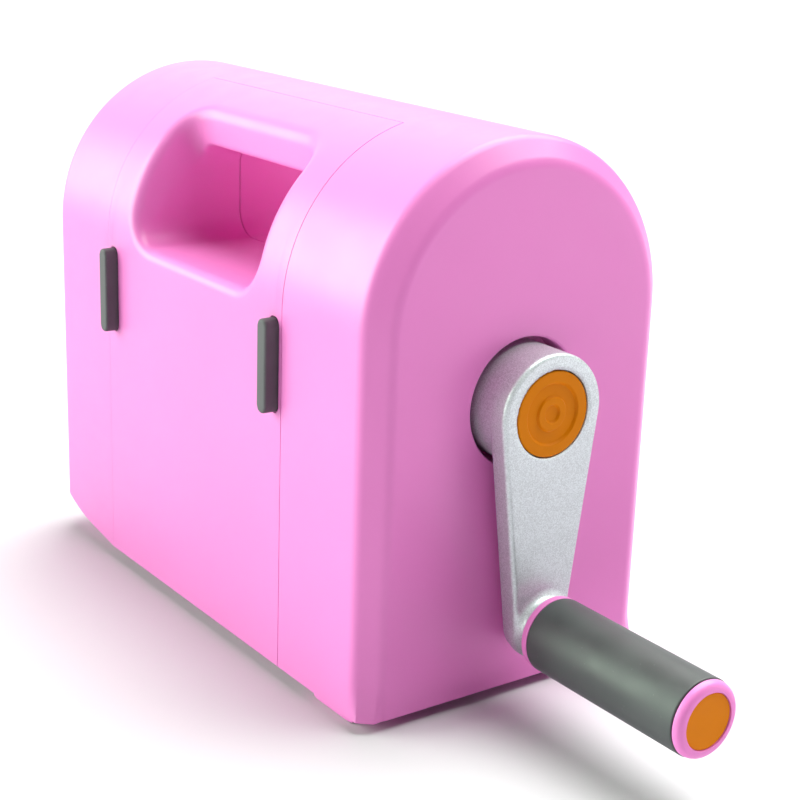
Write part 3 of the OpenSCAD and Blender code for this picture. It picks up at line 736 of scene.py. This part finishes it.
def recess_rings(face, back):
    """From the flat end through the round recess for the hub to the inner side."""
    x, bottom, at = RIGHT_HIGH[0], RIGHT_HIGH[0] - RECESS_DEPTH, CRANK_AT
    rings = steps_between(face, circle_like(face, x, RECESS_R + RECESS_SOFT, at), 8)[1:]
    for t in np.arange(7) / 6:
        rings.append(circle_like(face, x - RECESS_SOFT * t * t, RECESS_R + RECESS_SOFT * (1 - t) ** 2, at))
    rings.append(circle_like(face, x - RECESS_DEPTH * 0.5, RECESS_R, at))
    rings += [circle_like(face, bottom, r, at) for r in (RECESS_R, 18, SHAFT_HOLE_R)]
    rings += [circle_like(face, bottom - WALL, r, at) for r in (SHAFT_HOLE_R, 18, RECESS_R + WALL)]
    rings.append(circle_like(back, x - WALL, RECESS_R + WALL, at))
    rings.append(0.5 * (rings[-1] + back))
    return rings


def end_case(name, node, side, rise, start):
    """An end case as a real shell. Its base rises towards the flat end, and it starts at the seam."""
    reach = (RIGHT_HIGH[0] - RIGHT_LOW[0]) if side > 0 else (LEFT_HIGH[0] - LEFT_LOW[0])
    curve = bend((0.4, 0.2), (0.73, 0.37), (1, 1), 12)

    def ring(a, inset, lift=0.0):
        up = rise * np.interp(a / reach, [0, *curve[:, 0]], [0, *curve[:, 1]])
        return arch_ring(MID_X + side * (SEAM_HALF + a), inset, BASE_Z + lift + up)

    line = [(start, 0.0)] + end_line(reach, 0)[1:]
    outer = [swell(ring(a, inset), inset, side) for a, inset in line]
    inner = [ring(a, inset, WALL) for a, inset in end_line(reach, WALL)]
    rings = inner[::-1] + outer
    if side > 0:
        rings += recess_rings(outer[-1], inner[-1])
        shell = (np.concatenate(rings), ring_faces(len(rings), len(rings[0]), closed=True))
    else:
        shell = closed_skin(rings)
    return dress(join(name, [shell] + feet(side)), "root", [node], "case_pink", 0.45)


end_case("right_case", "right_housing", 1, 0.0, 0.0)
end_case("left_case", "left_housing", -1, 18.0, -0.28)


# ---- Rubber strips on the doors ----

def strips(name, body, node, side):
    """Two rubber strips, with round ends and soft edges."""
    proud = -STRIP_LOW[1] - ARCH_R
    line = soft_corners([(0, -1), (0.1, proud), (STRIP_HALF[0] - 0.6, proud)], [0, 1.3, 0], 6)
    parts = []
    for x in STRIP_X:
        rings = []
        for inset, out in line:
            half = (STRIP_HALF[0] - inset, STRIP_HALF[1] - inset)
            flat = rounded_ring((x, STRIP_Z), half, max(3.3 - inset, 0.3), STRIP_COUNTS)
            rings.append(at_depth(flat, -ARCH_R - out) * (1, side, 1))
        parts.append(closed_skin(rings))
    return dress(join(name, parts), body, [node], "foot_rubber", 0)


strips("front_strips", "front_door", "front_bumpers", 1)
strips("rear_strips", "rear_door", "rear_bumpers", -1)


# ---- Crank ----

CASTING_CELL = 0.62


def slab(outline, depth, low, high, soft):
    """Distance to a plate between two depths, from the distance to its outline, with rounded edges."""
    a, b = outline + soft, np.abs(depth - (low + high) / 2) - (high - low) / 2 + soft
    return np.minimum(np.maximum(a, b), 0) + np.hypot(np.maximum(a, 0), np.maximum(b, 0)) - soft


def merge(a, b, k):
    """The union of two shapes with a fillet of about k."""
    h = np.maximum(k - np.abs(a - b), 0) / k
    return np.minimum(a, b) - h * h * k / 4


def arm_outline(y, down):
    """Distance to the arm's outline: two circles and the straight sides between them."""
    slope = (HUB_R - TIP_R) / CRANK_REACH
    rise = math.sqrt(1 - slope**2)
    side = np.abs(y)
    along_side = -slope * side + rise * down
    tip = np.hypot(side, down - CRANK_REACH) - TIP_R
    straight = rise * side + slope * down - HUB_R
    lower = np.where(along_side > rise * CRANK_REACH, tip, straight)
    return np.where(along_side < 0, np.hypot(side, down) - HUB_R, lower)


def crank_field(points):
    """Distance to the crank casting's surface, below 0 inside."""
    x = points[:, 0]
    cos, sin = math.cos(CRANK_LEAN), math.sin(CRANK_LEAN)
    y0, z0 = points[:, 1] - CRANK_AT[1], points[:, 2] - CRANK_AT[2]
    y, down = y0 * cos + z0 * sin, -(-y0 * sin + z0 * cos)
    from_hub, from_grip = np.hypot(y, down), np.hypot(y, down - CRANK_REACH)
    leant = x + ARM_TILT * np.clip(down / CRANK_REACH, 0, 1)
    plate = slab(arm_outline(y, down), leant, ARM_FRONT - ARM_T, ARM_FRONT, ARM_SOFT)
    hub = slab(from_hub - HUB_R, x, HUB_LOW[0], ARM_FRONT - 3, HUB_SOFT)
    boss = slab(from_grip - TIP_R, x, ARM_FRONT - 7, ARM_FRONT + BOSS_H, HUB_SOFT)
    body = merge(np.minimum(plate, hub), boss, BOSS_FILLET)
    cup = slab(from_hub - (BUTTON_R + BUTTON_GAP), x, ARM_FRONT - 4, ARM_FRONT + 4, 0.1)
    lip = slab(from_hub - (BUTTON_R + LIP_W), x, ARM_FRONT - 0.35, ARM_FRONT + 4, 0.1)
    return -merge(-body, np.minimum(cup, lip), 0.5)


def crank_casting():
    """The cast arm with its hub, the boss under the grip and the seat of the button."""
    points, faces = surface_net(crank_field, HUB_LOW - 2, HUB_HIGH + 2, CASTING_CELL)
    return dress(make_mesh("crank_casting", points, faces), "crank", ["crank_arm"], "crank_silver", 0, 60)


crank_casting()


def button():
    """The coloured button: a dished face with a raised rim and a plain ring."""
    back, face = BUTTON_LOW[0], ARM_FRONT - 0.5
    dish = face - DISH_DEPTH
    line = [(back, 0), (back, BUTTON_R), (face, BUTTON_R), (face, BUTTON_R - 4.6), (dish, BUTTON_R - 5.4),
            (dish, 7.4), (face - 0.2, 6.8), (face - 0.2, 3.9), (dish, 3.3), (dish, 0)]
    profile = soft_corners(line, [0, 0.3, 0.6, 0.25, 0.25, 0.25, 0.25, 0.25, 0.25, 0], 4)
    piece = lathe("crank_button_face", profile, CRANK_AT, closed=False)
    return dress(piece, "crank", ["crank_button"], "button_orange", 0, 50)


button()


# ---- Grip ----

def grip():
    """Core with its two rings, the rubber sleeve between them and the coloured cap."""
    x0, x1 = GRIP_LOW[0], GRIP_HIGH[0]
    r = (GRIP_HIGH[2] - GRIP_LOW[2]) / 2
    start, end = SLEEVE_LOW[0] - 0.15, SLEEVE_HIGH[0] + 0.4
    cap = CAP_R + 0.1
    line = [(x0, 4.1), (x0, r - 0.1), (start, r - 0.1), (start, r - 4), (end, r - 4), (end, r - 0.3),
            (x1 - 0.3, r - 0.6), (x1, cap + 0.6), (x1, cap), (x1 - 3, cap), (x1 - 3, 8.4), (x1 - 6.4, 8.4),
            (x1 - 6.4, 4.1), (x0, 4.1)]
    profile = soft_corners(line, [0, 0.8, 0.3, 0, 0, 0.4, 2.7, 0.4, 0.2, 0, 0, 0, 0, 0], 6)[:-1]
    dress(lathe("grip_rings", profile, GRIP_AT), "grip", ["grip_core"], "grip_pink", 0, 50)
    s0, s1 = SLEEVE_LOW[0], SLEEVE_HIGH[0]
    line = [(s0, r - 2), (s0, r - 3.95), (s1, r - 3.95), (s1, r), (s0, r), (s0, r - 2)]
    profile = soft_corners(line, [0, 0, 0, 0.7, 0.7, 0], 6)[:-1]
    dress(lathe("grip_rubber_sleeve", profile, GRIP_AT), "grip", ["grip_sleeve"], "grip_rubber", 0, 50)
    line = [(CAP_LOW[0], 0), (CAP_LOW[0], CAP_R), (CAP_HIGH[0] - 0.1, CAP_R), (CAP_HIGH[0] - 0.1, 0)]
    profile = soft_corners(line, [0, 0, 0.6, 0], 6)
    dress(lathe("grip_cap", profile, GRIP_AT, closed=False), "grip", ["grip_end_cap"], "button_orange", 0, 50)


grip()


# ---- CAD parts that stay ----

def finish_cad():
    """Every CAD part that still shows gets its finish, and smooth shading between its sharp edges."""
    slot_of = {s["node"]: s["material_slot"] for s in frame["record"]["subparts"]}
    for node, piece in frame["nodes"].items():
        if piece.hide_render:
            continue
        piece.data.materials.clear()
        piece.data.materials.append(MATERIAL_OF[slot_of[node]])
        for face in piece.data.polygons:
            face.use_smooth = True
        piece.data.set_sharp_from_angle(angle=math.radians(30))


finish_cad()


# ---- Floor, light and camera ----

# The direction that each light comes from, its strength, its width in degrees and its colour
LIGHTS = {
    "left_rear": ((-0.8, 0.25, 0.57), 0.35, 50, (1, 1.1, 1)),
    "above": ((-0.06, 0.44, 0.9), 5.35, 60, (1, 1.07, 1)),
    "left_front": ((-0.61, -0.78, 0.22), 4.45, 56, (1, 1.26, 1.02)),
    "right_rear": ((0.5, 0.8, 0.25), 0.15, 50, (1, 1, 1.05)),
}
# Where the panel stands, what it faces, its side in metres and its power
PANEL = ((0.42, 0.36, 0.05), (0.08, 0.0, 0.03), 0.3, 0.3)
SURROUND_SEEN = 1.2
SURROUND_SHEEN = 0.9
FLOOR_HALF = 9000.0
FLOOR_SEEN = (0.73, 0.67, 0.73)
FLOOR_BOUNCE = (0.69, 0.62, 0.71)


def ray_switch(tree, kind, chosen, other, socket):
    """Gives a colour input one colour for one kind of ray, and another colour or link for the rest."""
    ray = tree.nodes.new("ShaderNodeLightPath")
    mix = tree.nodes.new("ShaderNodeMix")
    mix.data_type = "RGBA"
    mix.inputs[7].default_value = (*chosen, 1)
    if isinstance(other, tuple):
        mix.inputs[6].default_value = (*other, 1)
    else:
        tree.links.new(other, mix.inputs[6])
    tree.links.new(ray.outputs[kind], mix.inputs[0])
    if socket is not None:
        tree.links.new(mix.outputs[2], socket)
    return mix.outputs[2]


def stage():
    """A plain pale floor and a white surround, which lights nothing but shows in gloss."""
    points = [(x * FLOOR_HALF, y * FLOOR_HALF, 0) for x, y in ((-1, -1), (1, -1), (1, 1), (-1, 1))]
    floor = make_mesh("floor", points, [(0, 1, 2, 3)])
    material, tree, shader, _ = new_material("floor_white", FLOOR_SEEN, 0.7)
    shader.inputs["Specular IOR Level"].default_value = 0.0
    ray_switch(tree, "Is Camera Ray", FLOOR_SEEN, FLOOR_BOUNCE, shader.inputs["Base Color"])
    floor.data.materials.append(material)
    world = bpy.data.worlds.new("surround")
    bpy.context.scene.world = world
    world.use_nodes = True
    tree = world.node_tree
    back = tree.nodes["Background"]
    back.inputs["Strength"].default_value = 1.0
    glossy = ray_switch(tree, "Is Glossy Ray", (SURROUND_SHEEN,) * 3, (0.0, 0.0, 0.0), None)
    ray_switch(tree, "Is Camera Ray", (SURROUND_SEEN,) * 3, glossy, back.inputs["Color"])


def sun(name, way, strength, width, colour):
    """A soft light from far away, so that the floor is lit evenly."""
    data = bpy.data.lights.new(name, "SUN")
    data.energy = strength
    data.angle = math.radians(width)
    data.color = colour
    light = bpy.data.objects.new(name, data)
    light.rotation_euler = Vector(way).to_track_quat("Z", "Y").to_euler()
    bpy.context.scene.collection.objects.link(light)


def panel(name, at, target, size, power):
    """A soft panel close by, so that its light falls off across the part."""
    data = bpy.data.lights.new(name, "AREA")
    data.size = size
    data.energy = power
    light = bpy.data.objects.new(name, data)
    light.location = at
    light.rotation_euler = (Vector(target) - Vector(at)).to_track_quat("-Z", "Y").to_euler()
    bpy.context.scene.collection.objects.link(light)


CAMERA_AT = (MID_X * MM + 0.6361, -0.4218, 0.3336)
CAMERA_ANGLE = (53.93, 17.55, 2.01)
CAMERA_LENS = 76.2
CAMERA_SENSOR = 36


def camera():
    """The camera at the usual three-quarter view, with a slight roll."""
    azimuth, height, roll = (math.radians(a) for a in CAMERA_ANGLE)
    level = math.cos(height)
    back = Vector((math.sin(azimuth) * level, -math.cos(azimuth) * level, math.sin(height)))
    right = (-back).cross(Vector((0, 0, 1))).normalized()
    up = right.cross(-back)
    across = right * math.cos(roll) + up * math.sin(roll)
    above = up * math.cos(roll) - right * math.sin(roll)
    turn = Matrix((across, above, back)).transposed().to_4x4()
    data = bpy.data.cameras.new("camera")
    data.lens = CAMERA_LENS
    data.sensor_width = CAMERA_SENSOR
    data.clip_start = 0.01
    data.clip_end = 20
    view = bpy.data.objects.new("camera", data)
    view.matrix_world = Matrix.Translation(CAMERA_AT) @ turn
    bpy.context.scene.collection.objects.link(view)
    bpy.context.scene.camera = view


stage()
panel("right_panel", *PANEL)
for light_name, settings in LIGHTS.items():
    sun(light_name, *settings)
camera()
bpy.context.scene.view_settings.view_transform = "Standard"
bpy.context.scene.view_settings.look = "None"
